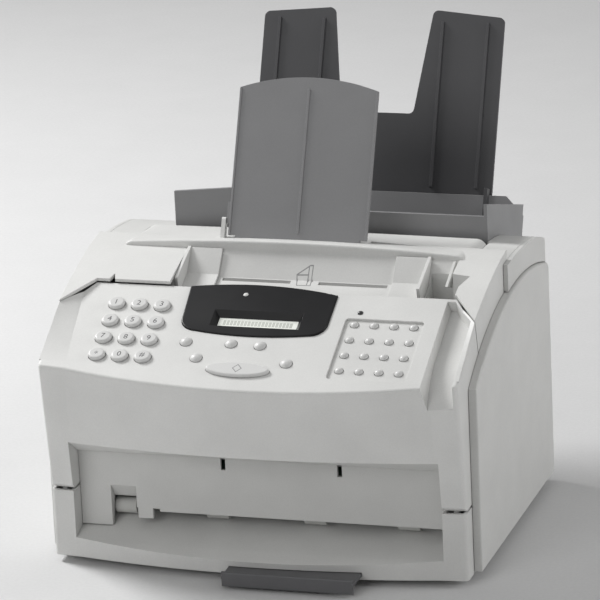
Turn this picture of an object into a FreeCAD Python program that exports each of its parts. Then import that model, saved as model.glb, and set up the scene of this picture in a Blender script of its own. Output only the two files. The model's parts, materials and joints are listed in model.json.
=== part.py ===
import FreeCAD, Part
import math
import os
from FreeCAD import Placement, Rotation, Vector

# Plain-paper fax machine as an assembly of separate pieces, in millimetres.
# Working frame: X to the right, Y to the back, Z up, floor at Z = 0.
# Before export everything is moved so that the origin is the bottom centre of the whole object.

# Casing
body_width = 356.0
body_rear_y = 276.0
wall = 3.0
foot_height = 6.0
foot_radius = 8.0
foot_round = 1.0
foot_inset_x = 28.0
foot_front_y = 40.0
foot_rear_inset = 26.0
base_height = 63.8
base_floor = 2.7
parting_gap = 2.1
slide_gap = 0.3
seam_gap = 0.6
lid_seam_gap = 1.2

# Front: bowed between two turned corner bands, leaning forward above the base
front_corner_y = 12.0
band_turn = 2.0
band_width = 23.0
front_bow = 15.0
front_lean = 0.139
front_lower_chamfer = 3.0
corner_round = 4.0
crease_round = 2.5

# Sloped operation panel
panel_slope = 25.1
panel_y = 68.1
panel_z = 210.8
panel_rear_y = 89.0
rail_crease_front = 23.0
rail_crease_rear = 13.0
rail_front_v = -72.0
rail_rear_v = 30.0
rail_rise = 9.1
rail_root = 1.0
parting_lean = 0.25
parting_diagonal = 1.4545
cover_side_rear_y = 60.0
cover_side_cut_z = 150.0

# Finger recess on the right of the panel, running out at the front
scoop_left_inset = 30.0
scoop_rim = 4.0
scoop_draft = 0.25
scoop_depth = 9.0
scoop_bend_v = -40.0
scoop_front_v = -93.0
scoop_front_fall = 13.0

# Operation cover hinge
hinge_y = 17.5
hinge_z = 69.0
hinge_pin_radius = 1.5
hinge_lug_radius = 3.0
hinge_lug_width = 4.0
running_fit = 0.05

# Delivery bay
bay_post_width = 20.0
bay_rear_y = 26.0
bay_roof_front_z = 109.0
bay_roof_rear_z = 94.5
bay_floor_rear_y = 50.0
bay_floor_rear_z = 36.0
bay_floor_mid_y = 8.0
bay_floor_mid_z = 22.0
bay_floor_front_y = -6.0
bay_floor_front_z = 16.5

# Keys
key_clearance = 0.4
key_flange = 1.2
key_flange_thickness = 1.2
key_edge_share = 0.6
key_dome_share = 0.8
number_key_length = 14.2
number_key_depth = 13.4
number_key_height = 3.2
number_key_x = -130.3
number_key_v = -2.0
number_key_pitch_x = 19.8
number_key_pitch_v = 20.5
number_key_names = ("key_1", "key_2", "key_3", "key_4", "key_5", "key_6",
                    "key_7", "key_8", "key_9", "key_star", "key_0", "key_hash")
number_key_columns = 3
function_key_diameter = 10.0
function_key_height = 2.8
function_key_places = ((-59.0, 29.4), (-45.5, 13.0), (-20.5, 29.8), (4.4, 29.2), (31.5, 11.8))
start_key_length = 54.0
start_key_depth = 16.0
start_key_height = 3.0
start_key_place = (-7.0, 2.0)
one_touch_diameter = 7.0
one_touch_height = 2.4
one_touch_x = 76.3
one_touch_y = 58.4
one_touch_pitch_x = 16.7
one_touch_pitch_v = 18.1
one_touch_rows = 4
one_touch_columns = 4
one_touch_recess = 2.0
one_touch_margin_x = 8.3
one_touch_margin_v = 5.7
one_touch_corner = 3.0

# Display
bezel_left = -72.4
bezel_right = 54.9
bezel_front_y = 38.4
bezel_rear_y = 93.4
bezel_proud = 1.5
bezel_depth = 4.0
bezel_round = 0.8
bezel_fit = 0.3
bezel_arch = 5.0
bezel_sag = 4.0
bezel_skew = 2.7
bezel_corner = 14.0
window_length = 66.0
window_width = 9.0
window_x = -6.0
window_y = 56.0
window_flare = 6.0
glass_margin = 4.0
glass_thickness = 1.5

# Key board
board_thickness = 1.6
board_depth = 9.0
board_left = -148.0
board_right = 140.0
board_front_y = -5.0
board_rear_v = 8.0
board_post_radius = 3.0
board_post_margin = 0.5

# Top cover
top_profile = ((30.0, 202.5), (53.0, 212.0), (80.5, 221.5), (107.5, 229.7), (135.0, 236.3), (165.0, 241.0))
top_side_low_z = 178.0
hood_end_inset = 28.0
hood_front_y = 142.0
hood_tray_gap = 9.0
hood_front_z = 241.0
hood_rear_z = 235.5
hood_crown_front = 5.5
hood_crown_rear = 0.8
hood_low_z = 214.0
hood_end_round = 9.0
hood_slot_front_y = 158.5
hood_slot_rear_y = 168.5
hood_slot_tip_y = 163.0
hood_slot_tip_x = 107.0
hood_slot_gap = 0.5
hood_edge_round = 2.0
top_pin_inset = 5.0
top_pin_drop = 5.5
hood_swing_gap = 6.0
top_pin_radius = 1.5
top_ear = 3.0
notch_x = -141.6
notch_width = 6.0
notch_length = 8.0
notch_overrun = 1.0

# Document inlet
inlet_left = -91.0
inlet_right = 144.0
inlet_ramp_y = 126.0
inlet_ramp_z = 218.5
inlet_front_y = 101.0
inlet_front_z = 207.8
inlet_slit_width = 3.4
inlet_slit_inset = 0.8
inlet_slit_margin = 4.0
feed_x = 15.0
guide_gap = 206.0
guide_fence = 2.5
guide_foot_width = 27.5
guide_foot_thickness = 2.0
guide_front_y = 102.5
guide_rear_clear = 2.0
guide_top_drop = 1.0
guide_nose = 3.0
guide_nose_rise = 14.0
inlet_lip = 4.0
inlet_rib_x = 139.0
inlet_rib_width = 2.2
inlet_rib_reach = 14.0
inlet_rib_rise = 5.0
pocket_gap = 1.5
pocket_front_x = 153.5
pocket_bend_y = 101.0
pocket_wide_x = 159.5
pocket_wide_y = 116.6
pocket_step_y = 119.2
pocket_rear_y = 134.0
pocket_floor_y = 98.0
pocket_floor_z = 197.0

# Document support
support_tilt = 25.0
support_y = 156.6
support_z = 243.6
support_x = 0.0
support_width = 121.0
support_length = 128.0
support_arch = 10.0
support_thickness = 2.2
support_rim = 1.6
support_rim_height = 1.0
support_rib = 2.0
support_seat = 2.0
support_tongue = 14.0
support_tongue_inset = 6.0
support_bracket = 3.5
support_bracket_gap = 0.5
support_bracket_half = 3.0
support_bracket_root = 3.0
support_bracket_top = 17.0
support_bracket_round = 2.5
support_ear = 2.2
support_ear_low = 12.0
support_ear_high = 30.0

# Rear cover and cheeks
deck_gap = 1.2
deck_shape = ((0.0, 232.5), (0.323, 232.0), (0.554, 229.5), (0.795, 225.0), (1.0, 216.6))
cheek_front_y = 152.0
cheek_front_z = 231.8
cheek_proud = 4.0
rear_overhang = 2.0

# Side covers
side_thickness = 7.0
side_front_y = 30.0
side_overhang = 0.5
side_low_z = 8.0
side_front_top_z = 164.5
side_mid_y = 150.0
side_mid_z = 208.0
side_rear_top_z = 196.0
side_corner_round = 8.0
side_edge_round = 1.5
side_boss_radius = 4.0
side_boss_y = (112.0, 152.0)
side_boss_z = (90.0, 170.0)

# Paper tray, in the plane of the sheet stack
stack_tilt = 24.3
stack_x = 10.0
stack_offset_y = 64.6
stack_z = 227.0
tray_width = 276.0
tray_wall = 3.0
tray_low_z = 92.0
tray_joint_z = 233.0
tray_front_inset = 57.0
tray_front_z = 252.0
tray_side_front_z = 263.0
tray_side_rear_z = 227.0
tray_front_low_z = 214.0
tray_end_width = 62.0
tray_end_z = 269.0
tray_corner = 16.0
tray_chute_inset = 30.0
tray_chute_z = 100.0

# Paper support with two fins
fin_outer = 109.0
fin_notch_top = 45.0
fin_notch_low = 33.0
fin_notch_z = 296.0
fin_outer_z = 375.0
fin_inner_z = 380.0
fin_thickness = 3.0
fin_round = 5.0
fin_ribs = (94.6, 54.0)
fin_rib_width = 2.5
fin_rib_height = 2.0
fin_tongue_width = 30.0
fin_tongue_offset = 62.0
fin_tongue_length = 22.0
fin_tongue_thickness = 2.4
fin_loop = 2.0

# Paper guide
paper_width = 210.0
paper_guide_thickness = 3.0
paper_guide_height = 14.0
paper_guide_low_z = 150.0
paper_guide_high_z = 237.0
paper_guide_foot = 22.0
paper_guide_head_gap = 6.0
paper_guide_step = 8.0
paper_guide_sheet = 2.0
paper_side_play = 0.5

# Delivery tray
delivery_left = -21.0
delivery_right = 91.0
delivery_thickness = 3.0
delivery_lip_y = -26.0
delivery_lip = 3.6
delivery_lip_low_z = 2.5
delivery_lip_high_z = 15.0
delivery_rear_y = 70.0

# Chassis
frame_side_gap = 10.0
frame_sheet = 3.0
frame_rear_inset = 12.0
frame_top_z = 186.0
frame_floor_front_y = 78.0
frame_floor_sheet = 2.0
frame_ear_front_y = 81.0
frame_ear_rear_y = 100.0
frame_ear_top_z = 206.0
frame_brow_z = 146.0
shelf_z = 120.0
shelf_width = 42.0
shelf_front_y = 108.0
shelf_rear_y = 190.0
deck_plate_z = 58.0
deck_plate_front_y = 120.0
deck_plate_rear_y = 214.0
board_stand_height = 10.0
board_stand_radius = 4.0
board_stand_inset = 10.0

# Rollers: shaft radius, sleeve radius, place, sleeve width and sleeve centres
shaft_radius = 3.0
shaft_overhang = 3.0
feed_roller_place = (88.0, 195.0)
feed_roller_radius = 9.0
pickup_inset = 30.0
pickup_z = 76.0
pickup_roller_radius = 14.0
exit_roller_place = (42.0, 43.0)
exit_roller_radius = 7.0
roller_sleeve_width = 18.0
exit_sleeve_width = 19.0
sleeve_round = 0.8
exit_sleeve_places = (-122.0, -42.0, 42.0, 122.0)
feed_sleeve_places = (-25.0, 55.0)
pickup_sleeve_places = (-20.0, 40.0)

# Inner front panel
inner_panel_gap = 0.8
inner_wing_low_z = 68.0
inner_wing_top_z = 112.0
inner_panel_thickness = 3.0
inner_panel_low_z = 44.0
inner_panel_top_z = 104.0
inner_block_gap = 0.4
inner_block_width = 27.0
inner_pocket_width = 22.0
inner_pocket_top_z = 65.0
inner_pocket_rear_z = 53.0
inner_pocket_depth = 9.0
inner_tab_gap = 1.0
inner_tab_width = 13.0
inner_tab_low_z = 37.5
inner_gap_width = 20.0
inner_gap_top_z = 46.5
inner_slot_places = (-32.0, 68.0)
inner_slot_width = 4.0
inner_slot_low_z = 84.0

# Print engine and boards
toner_end_gap = 15.0
drum_end_gap = 5.0
drum_radius = 8.0
drum_recess = 1.0
toner_front_y = 112.0
toner_depth = 72.0
toner_height = 46.0
toner_round = 14.0
toner_grip_half = 30.0
toner_grip_height = 6.0
laser_half_length = 105.0
laser_front_y = 126.0
laser_depth = 84.0
laser_height = 34.0
laser_round = 6.0
laser_lid = 2.0
laser_motor_height = 6.0
laser_motor_radius = 18.0
main_board_left = -120.0
main_board_right = 120.0
main_board_front_y = 112.0
main_board_rear_inset = 14.0
inlet_block = (-110.0, 28.0, 22.0)
inlet_depth = 12.0
inlet_cavity = 16.0
inlet_pin_radius = 1.6
inlet_pin_length = 12.0
inlet_pin_pitch = 7.0
jack_places = (40.0, 62.0)
jack_size = 14.0
jack_depth = 6.0
jack_cavity = 14.0
socket_wall = 2.0
chip_places = ((-60.0, 160.0, 30.0), (10.0, 150.0, 24.0), (60.0, 190.0, 20.0))
chip_height = 3.0
socket_fit = 0.4

# Screws on the rear face
screw_head_radius = 3.6
screw_head_height = 2.2
screw_head_round = 0.8
screw_slot_length = 4.4
screw_slot_width = 0.8
screw_slot_depth = 1.0
screw_shank_radius = 1.5
screw_shank_length = 9.0
screw_hole_fit = 0.2
screw_low_z = 80.0
screw_low_edge = 10.0
screw_high_z = 190.0
screw_high_edge = 14.0
screw_block = 5.0

half_body = body_width / 2
bay_half_width = half_body - bay_post_width
frame_half_width = half_body - frame_side_gap
frame_front_y = bay_rear_y + inner_panel_gap + inner_panel_thickness
frame_rear_y = body_rear_y - frame_rear_inset
hood_half_width = half_body - hood_end_inset
rear_face_y = body_rear_y + rear_overhang
side_rear_y = body_rear_y + side_overhang
stack_y = body_rear_y + stack_offset_y
tray_front_y = body_rear_y - tray_front_inset
tray_chute_y = body_rear_y - tray_chute_inset
hood_rear_y = tray_front_y - hood_tray_gap
main_board_rear_y = body_rear_y - main_board_rear_inset
pickup_roller_place = (body_rear_y - pickup_inset, pickup_z)
deck_front_y = top_profile[-1][0] + deck_gap
deck_profile = [(deck_front_y + part * (rear_face_y - deck_front_y), z) for part, z in deck_shape]
top_hinge_y = hood_rear_y - top_pin_inset
screw_places = [(side * (half_body - edge), z) for side in (-1, 1)
                for edge, z in ((screw_low_edge, screw_low_z), (screw_high_edge, screw_high_z))]
toner_half_length = frame_half_width - toner_end_gap
inner_block_x = inner_block_width - bay_half_width
inner_pocket_x = inner_block_x + inner_pocket_width
inner_gap_x = inner_pocket_x + inner_gap_width
panel_half_width = half_body - band_width
board_front_v = (board_front_y - panel_y) / math.cos(math.radians(panel_slope))
cover_low_z = base_height + parting_gap
side_inner_x = half_body + slide_gap
base_top_of_floor = foot_height + base_floor
main_board_top = base_top_of_floor + frame_floor_sheet + board_stand_height + board_thickness
panel_place = Placement(Vector(0, panel_y, panel_z), Rotation(Vector(1, 0, 0), panel_slope))
support_place = Placement(Vector(support_x, support_y, support_z), Rotation(Vector(1, 0, 0), -support_tilt))
stack_place = Placement(Vector(stack_x, stack_y, stack_z), Rotation(Vector(1, 0, 0), -stack_tilt))
far = 400.0


# Basic shapes

def box(x0, x1, y0, y1, z0, z1):
    return Part.makeBox(x1 - x0, y1 - y0, z1 - z0, Vector(x0, y0, z0))


def rod_x(x0, x1, place, radius):
    return Part.makeCylinder(radius, x1 - x0, Vector(x0, place[0], place[1]), Vector(1, 0, 0))


def post(x, y, z0, z1, radius):
    return Part.makeCylinder(radius, z1 - z0, Vector(x, y, z0), Vector(0, 0, 1))


def placed(shape, place):
    copy = shape.copy()
    copy.Placement = place.multiply(copy.Placement)
    return copy


def join(shapes):
    whole = shapes[0]
    for shape in shapes[1:]:
        whole = whole.fuse(shape)
    return whole.removeSplitter()


def side_prism(points, x0, x1):
    """Solid between two X planes, from (y, z) corners."""
    corners = [Vector(x0, y, z) for y, z in points]
    return Part.Face(Part.makePolygon(corners + corners[:1])).extrude(Vector(x1 - x0, 0, 0))


def curved_prism(curve_points, low_z, x0, x1, drop=0.0):
    """Solid under a smooth (y, z) curve, down to low_z."""
    points = [Vector(x0, y, z - drop) for y, z in curve_points]
    spline = Part.BSplineCurve()
    spline.interpolate(points)
    low_first = Vector(x0, points[0].y, low_z)
    low_last = Vector(x0, points[-1].y, low_z)
    edges = [spline.toShape(), Part.makeLine(points[-1], low_last),
             Part.makeLine(low_last, low_first), Part.makeLine(low_first, points[0])]
    return Part.Face(Part.Wire(edges)).extrude(Vector(x1 - x0, 0, 0))


def mirrored(shape):
    return shape.mirror(Vector(0, 0, 0), Vector(1, 0, 0))


def rounded(shape, radius, chosen):
    """Rounds the edges whose centre passes the test."""
    edges = [edge for edge in shape.Edges if chosen(edge)]
    return shape.makeFillet(radius, edges)


def along_x(edge):
    first, last = edge.Vertexes[0].Point, edge.Vertexes[-1].Point
    return abs(abs(last.x - first.x) - edge.Length) < 1e-4


def along_z(edge):
    first, last = edge.Vertexes[0].Point, edge.Vertexes[-1].Point
    return abs(abs(last.z - first.z) - edge.Length) < 1e-4


def slope_v(y):
    """Distance along the panel slope for a plan position y."""
    return (y - panel_y) / math.cos(math.radians(panel_slope))


# Casing outline

def front_y_at(z):
    """Front of the outer corner at a height."""
    return front_corner_y - front_lean * max(0.0, z - cover_low_z)


def body_outline(inset, z, rear_y, shift=0.0):
    """Plan face: bowed front, turned corner bands and straight sides, with the front moved by a shift."""
    side_x = half_body - inset
    band_x = half_body - band_width
    corner_y = front_corner_y + inset + shift
    band_y = corner_y - band_turn
    left = Vector(-band_x, band_y, z)
    right = Vector(band_x, band_y, z)
    middle = Vector(0, band_y - front_bow, z)
    corners = [right, Vector(side_x, corner_y, z), Vector(side_x, rear_y, z),
               Vector(-side_x, rear_y, z), Vector(-side_x, corner_y, z), left]
    edges = [Part.makeLine(a, b) for a, b in zip(corners, corners[1:])]
    edges.append(Part.Arc(left, middle, right).toShape())
    return Part.Face(Part.Wire(edges))


def bay_space(half_width, lift, low_z):
    """The bay: a box whose roof rises from the rear line to the bowed front edge."""
    front = -4 * front_bow
    roof_z = bay_roof_front_z + lift
    edge_y = front_y_at(bay_roof_front_z) - band_turn

    def outline(z, rear):
        start = Vector(-half_width, front, z)
        turn = Vector(half_width, front, z)
        edges = [Part.makeLine(start, turn), Part.makeLine(turn, rear.valueAt(rear.FirstParameter)), rear,
                 Part.makeLine(rear.valueAt(rear.LastParameter), start)]
        return Part.Wire(edges)

    low = bay_roof_rear_z + lift
    rear_line = Part.makeLine(Vector(half_width, bay_rear_y, low), Vector(-half_width, bay_rear_y, low))
    bow = Part.Arc(Vector(half_width, edge_y, roof_z), Vector(0, edge_y - front_bow, roof_z),
                   Vector(-half_width, edge_y, roof_z)).toShape()
    roof = Part.makeLoft([outline(low, rear_line), outline(roof_z, bow)], True, True)
    return roof.fuse(box(-half_width, half_width, front, bay_rear_y, low_z, low)).removeSplitter()


# Base

def bay_floor(drop, half_width):
    points = [(bay_floor_rear_y, bay_floor_rear_z - drop), (bay_floor_mid_y, bay_floor_mid_z - drop),
              (bay_floor_front_y, bay_floor_front_z - drop), (-4 * front_bow, bay_floor_front_z - drop)]
    top = [(-4 * front_bow, far), (bay_floor_rear_y, far)]
    return side_prism(points + top, -half_width, half_width)


def bay_floor_height(y):
    rise = (bay_floor_rear_z - bay_floor_mid_z) / (bay_floor_rear_y - bay_floor_mid_y)
    return bay_floor_mid_z + rise * (y - bay_floor_mid_y)


def base_casing():
    height = base_height - foot_height
    outer = body_outline(0, foot_height, body_rear_y).extrude(Vector(0, 0, height))
    outer = rounded(outer, corner_round, lambda e: along_z(e) and abs(e.CenterOfMass.x) > half_body - 1)
    inner = body_outline(wall, base_top_of_floor, body_rear_y - wall).extrude(Vector(0, 0, height))
    shell = outer.cut(inner)
    liner = bay_floor(wall, bay_half_width + wall).cut(bay_floor(0, bay_half_width)).common(outer)
    shell = shell.fuse(liner).cut(bay_floor(0, bay_half_width))
    slot_z = base_top_of_floor
    slot = box(delivery_left - slide_gap, delivery_right + slide_gap, -far, bay_floor_rear_y + wall,
               slot_z, slot_z + delivery_thickness + 2 * slide_gap)
    shaft_y, shaft_z = exit_roller_place
    reach = bay_half_width + wall
    notch = box(-reach - 1, reach + 1, shaft_y - shaft_radius - seam_gap, shaft_y + shaft_radius + seam_gap,
                shaft_z - shaft_radius - seam_gap, far)
    shell = shell.cut(slot).cut(notch)
    x = half_body - 2 * wall - hinge_lug_width
    low_x, high_x = x - hinge_lug_width / 2, x + hinge_lug_width / 2
    web = box(low_x, high_x, hinge_y, hinge_y + 2 * hinge_lug_radius, base_top_of_floor, hinge_z)
    lug = web.fuse(rod_x(low_x, high_x, (hinge_y, hinge_z), hinge_lug_radius))
    lug = lug.cut(rod_x(low_x - 1, high_x + 1, (hinge_y, hinge_z), hinge_pin_radius + running_fit))
    lugs = [lug, mirrored(lug)]
    return join([shell] + lugs)


# Operation cover and everything on the sloped panel

def behind_parting(gap):
    """Space behind the seam between the operation cover and the top cover."""
    low_z = cover_side_cut_z
    shift = parting_lean * (panel_z + 10 - low_z) + gap
    knee_x = panel_half_width
    end_x = half_body + 30
    end_y = panel_rear_y - parting_diagonal * (end_x - knee_x)
    plan = [(-end_x, end_y), (-knee_x, panel_rear_y), (knee_x, panel_rear_y), (end_x, end_y),
            (end_x, far), (-end_x, far)]
    corners = [Vector(x, y + shift, low_z) for x, y in plan]
    height = far - low_z
    plan_face = Part.Face(Part.makePolygon(corners + corners[:1]))
    return plan_face.extrude(Vector(0, -parting_lean * height, height))


def above_panel(drop):
    """Space above the panel plane."""
    return placed(box(-far, far, -far, far, -drop, far), panel_place)


def leaning_block(inset, low_z, high_z):
    height = high_z - low_z
    face = body_outline(inset, low_z, 2 * panel_rear_y, -front_lean * (low_z - cover_low_z))
    return face.extrude(Vector(0, -front_lean * height, height))


def cover_block(inset, drop):
    """Leaning front below the panel plane; the outer one has a chamfered lower edge."""
    low_z = cover_low_z
    if inset > 0:
        return leaning_block(inset, low_z, far).cut(above_panel(drop))
    chamfer_z = low_z + front_lower_chamfer
    low = body_outline(0, low_z, 2 * panel_rear_y, front_lower_chamfer)
    high = body_outline(0, chamfer_z, 2 * panel_rear_y, -front_lean * front_lower_chamfer)
    sill = Part.makeLoft([low.OuterWire, high.OuterWire], True, True)
    return sill.fuse(leaning_block(0, chamfer_z, far)).removeSplitter().cut(above_panel(drop))


def side_rail():
    """Raised right edge of the panel, which carries the top cover's band on down the slope."""
    crease_front, crease_rear = half_body - rail_crease_front, half_body - rail_crease_rear
    a0, b0 = Vector(crease_front, rail_front_v, 0), Vector(half_body, rail_front_v, 0)
    a1, b1 = Vector(crease_rear, rail_rear_v, 0), Vector(half_body, rail_rear_v, rail_rise)
    root = Vector(0, 0, -rail_root)
    a0_low, b0_low, a1_low = a0 + root, b0 + root, a1 + root
    b1_low = Vector(half_body, rail_rear_v, -rail_root)
    faces = [Part.makeRuledSurface(Part.makeLine(a0, a1), Part.makeLine(b0, b1))]
    for corners in ((a0_low, b0_low, b1_low, a1_low), (a0, b0, b0_low, a0_low), (a0, a1, a1_low, a0_low),
                    (a1, b1, b1_low, a1_low), (b0, b1, b1_low, b0_low)):
        faces.append(Part.Face(Part.makePolygon(list(corners) + [corners[0]])))
    shell = Part.makeShell(faces)
    shell.sewShape()
    return placed(Part.makeSolid(shell), panel_place)


def scoop(grow):
    """Finger recess: a slanted wall beside the keys, a floor that rolls away in front, and the outer rim."""
    floor_n = -scoop_depth - grow
    front_n = floor_n - scoop_front_fall
    left, right = half_body - scoop_left_inset - grow, half_body - scoop_rim + grow
    high = 2 * rail_rise
    reach = scoop_bend_v - scoop_front_v
    radius = (reach ** 2 + scoop_front_fall ** 2) / (2 * scoop_front_fall)
    turn = math.asin(reach / radius) / 2
    middle = (scoop_bend_v - radius * math.sin(turn), floor_n - radius * (1 - math.cos(turn)))
    start_x = left - scoop_draft * high
    bend, roll, front = [Vector(start_x, v, n) for v, n in ((scoop_bend_v, floor_n), middle,
                                                            (scoop_front_v, front_n))]
    others = [Vector(start_x, v, n) for v, n in ((-far, front_n), (-far, high), (far, high), (far, floor_n))]
    edges = [Part.Arc(bend, roll, front).toShape()]
    corners = [front] + others + [bend]
    edges += [Part.makeLine(a, b) for a, b in zip(corners, corners[1:])]
    run = Part.Face(Part.Wire(edges)).extrude(Vector(right - start_x, 0, 0))
    low = 2 * front_n
    section = [(start_x, high), (left - scoop_draft * low, low), (right, low), (right, high)]
    corners = [Vector(x, -far, n) for x, n in section]
    across = Part.Face(Part.makePolygon(corners + corners[:1])).extrude(Vector(0, 2 * far, 0))
    return placed(run.common(across), panel_place)


def ellipse_prism(length, depth, x, v, low, high):
    curve = Part.Ellipse(Vector(x, v, low), length / 2, depth / 2)
    return Part.Face(Part.Wire(curve.toShape())).extrude(Vector(0, 0, high - low))


def key_list():
    """Every key: name, place on the panel, length, depth, height above its floor and that floor."""
    keys = []
    for index, name in enumerate(number_key_names):
        column, row = index % number_key_columns, index // number_key_columns
        x = number_key_x + column * number_key_pitch_x
        v = number_key_v - row * number_key_pitch_v
        keys.append((name, x, v, number_key_length, number_key_depth, number_key_height, 0.0))
    for index, (x, y) in enumerate(function_key_places):
        size = function_key_diameter
        keys.append(("function_key_%d" % (index + 1), x, slope_v(y), size, size, function_key_height, 0.0))
    x, y = start_key_place
    keys.append(("start_key", x, slope_v(y), start_key_length, start_key_depth, start_key_height, 0.0))
    for index in range(one_touch_rows * one_touch_columns):
        column, row = index % one_touch_columns, index // one_touch_columns
        x = one_touch_x + column * one_touch_pitch_x
        v = slope_v(one_touch_y) - row * one_touch_pitch_v
        size = one_touch_diameter
        name = "one_touch_key_%02d" % (index + 1)
        keys.append((name, x, v, size, size, one_touch_height, -one_touch_recess))
    return keys


def key_solid(x, v, length, depth, height, floor):
    """Domed cap through the panel, held by a flange under it."""
    under = floor - wall
    cap_top = floor + height
    if length == depth:
        rise = key_dome_share * height
        dome = (length * length / 4 + rise * rise) / (2 * rise)
        cap = Part.makeCylinder(length / 2, cap_top - under, Vector(x, v, under))
        cap = cap.common(Part.makeSphere(dome, Vector(x, v, cap_top - dome)))
        flange = Part.makeCylinder(length / 2 + key_flange, key_flange_thickness,
                                   Vector(x, v, under - key_flange_thickness))
    else:
        cap = ellipse_prism(length, depth, x, v, under, cap_top)
        cap = rounded(cap, key_edge_share * height, lambda e: abs(e.CenterOfMass.z - cap_top) < 1e-3)
        flange = ellipse_prism(length + 2 * key_flange, depth + 2 * key_flange, x, v,
                               under - key_flange_thickness, under)
    return placed(cap.fuse(flange).removeSplitter(), panel_place)


def key_hole(x, v, length, depth, floor):
    low, high = floor - 2 * wall, floor + wall
    if length == depth:
        return Part.makeCylinder(length / 2 + key_clearance, high - low, Vector(x, v, low))
    return ellipse_prism(length + 2 * key_clearance, depth + 2 * key_clearance, x, v, low, high)


def one_touch_field(grow, low, high):
    left = one_touch_x - one_touch_margin_x - grow
    right = one_touch_x + (one_touch_columns - 1) * one_touch_pitch_x + one_touch_margin_x + grow
    rear = slope_v(one_touch_y) + one_touch_margin_v + grow
    front = slope_v(one_touch_y) - (one_touch_rows - 1) * one_touch_pitch_v - 2 * one_touch_margin_v - grow
    field = box(left, right, front, rear, low, high)
    return rounded(field, one_touch_corner, along_z)


def bezel_outline(grow, low, high):
    """Display surround: arched rear and front, rounded front corners, on the panel slope."""
    left, right = bezel_left - grow, bezel_right + grow
    front, rear = slope_v(bezel_front_y) - grow, slope_v(bezel_rear_y) + grow
    middle = (left + right) / 2
    rear_left = Vector(left, rear - bezel_arch, low)
    rear_right = Vector(right, rear - bezel_arch - bezel_skew, low)
    left_low = Vector(left + bezel_skew, front + bezel_sag + bezel_corner, low)
    front_left = Vector(left + bezel_skew + bezel_corner, front + bezel_sag, low)
    front_right = Vector(right - bezel_corner, front + bezel_sag, low)
    right_low = Vector(right, front + bezel_sag + bezel_corner, low)
    bend = bezel_corner * (1 - math.sqrt(0.5))
    left_mid = Vector(left + bezel_skew + bend, front + bezel_sag + bend, low)
    right_mid = Vector(right - bend, front + bezel_sag + bend, low)
    edges = [Part.makeLine(rear_left, left_low), Part.Arc(left_low, left_mid, front_left).toShape(),
             Part.Arc(front_left, Vector(middle, front, low), front_right).toShape(),
             Part.Arc(front_right, right_mid, right_low).toShape(), Part.makeLine(right_low, rear_right),
             Part.Arc(rear_right, Vector(middle, rear, low), rear_left).toShape()]
    return Part.Face(Part.Wire(edges)).extrude(Vector(0, 0, high - low))


def window_frustum():
    """Display window with sloping sides."""
    v = slope_v(window_y)
    low, high = -bezel_depth - 1, bezel_proud + 1

    def rectangle(grow, z):
        x0, x1 = window_x - window_length / 2 - grow, window_x + window_length / 2 + grow
        v0, v1 = v - window_width / 2 - grow, v + window_width / 2 + grow
        corners = [Vector(x0, v0, z), Vector(x1, v0, z), Vector(x1, v1, z), Vector(x0, v1, z)]
        return Part.makePolygon(corners + corners[:1])

    return Part.makeLoft([rectangle(0, low), rectangle(window_flare, high)], True, True)


def display_bezel():
    plate = bezel_outline(0, -bezel_depth, bezel_proud)
    plate = rounded(plate, bezel_round, lambda e: abs(e.CenterOfMass.z - bezel_proud) < 1e-6)
    return placed(plate.cut(window_frustum()), panel_place)


def display_glass():
    v = slope_v(window_y)
    x_reach = window_length / 2 + glass_margin
    v_reach = window_width / 2 + glass_margin
    glass = box(window_x - x_reach, window_x + x_reach, v - v_reach, v + v_reach,
                -bezel_depth - glass_thickness, -bezel_depth)
    return placed(glass, panel_place)


def board_posts():
    v_mid = (board_front_v + board_rear_v) / 2
    inset = 2 * board_post_radius
    left = board_left + board_post_radius + board_post_margin
    right = board_right + inset - board_post_radius - board_post_margin
    middle = one_touch_x - 8 * board_post_radius
    places = [(left, board_front_v + inset), (left, v_mid), (left, board_rear_v - inset),
              (middle, board_front_v + inset), (right, v_mid), (right, board_rear_v - inset)]
    posts = [Part.makeCylinder(board_post_radius, board_depth - wall, Vector(x, v, -board_depth))
             for x, v in places]
    return [placed(shape, panel_place) for shape in posts]


def key_board():
    board = box(board_left, board_right + 2 * board_post_radius, board_front_v, board_rear_v,
                -board_depth - board_thickness, -board_depth)
    return placed(board, panel_place)


def operation_cover():
    outer = cover_block(0, 0)
    outer = rounded(outer, corner_round, is_leaning_corner)
    outer = rounded(outer, crease_round, is_crease)
    outer = join([outer, side_rail(), mirrored(side_rail())]).cut(behind_parting(0))
    outer = outer.cut(scoop(0).cut(behind_parting(-wall)))
    inner = cover_block(wall, wall).cut(scoop(wall))
    shell = outer.cut(inner)
    shell = shell.cut(box(-far, far, cover_side_rear_y, far, 0, cover_side_cut_z + 1))
    liner = bay_space(bay_half_width + wall, wall, cover_low_z).cut(bay_space(bay_half_width, 0, 0))
    liner = liner.common(outer)
    shell = shell.fuse(liner).cut(bay_space(bay_half_width, 0, 0))
    tray = placed(one_touch_field(wall, -wall - one_touch_recess, -wall), panel_place)
    cuts = [one_touch_field(0, -one_touch_recess, wall), bezel_outline(bezel_fit, -2 * wall, 2 * wall)]
    for name, x, v, length, depth, height, floor in key_list():
        cuts.append(key_hole(x, v, length, depth, floor))
    pins = []
    for side in (1, -1):
        x0 = half_body - 3 * wall - hinge_lug_width
        pin = rod_x(x0, half_body - wall, (hinge_y, hinge_z), hinge_pin_radius)
        pins.append(pin if side > 0 else mirrored(pin))
    shell = join([shell, tray] + board_posts() + pins)
    return shell.cut(placed(Part.makeCompound(cuts), panel_place))


def is_leaning_corner(edge):
    centre = edge.CenterOfMass
    return (abs(abs(centre.x) - half_body) < 1e-6 and centre.y < front_corner_y
            and edge.Length > panel_z / 4)


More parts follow.
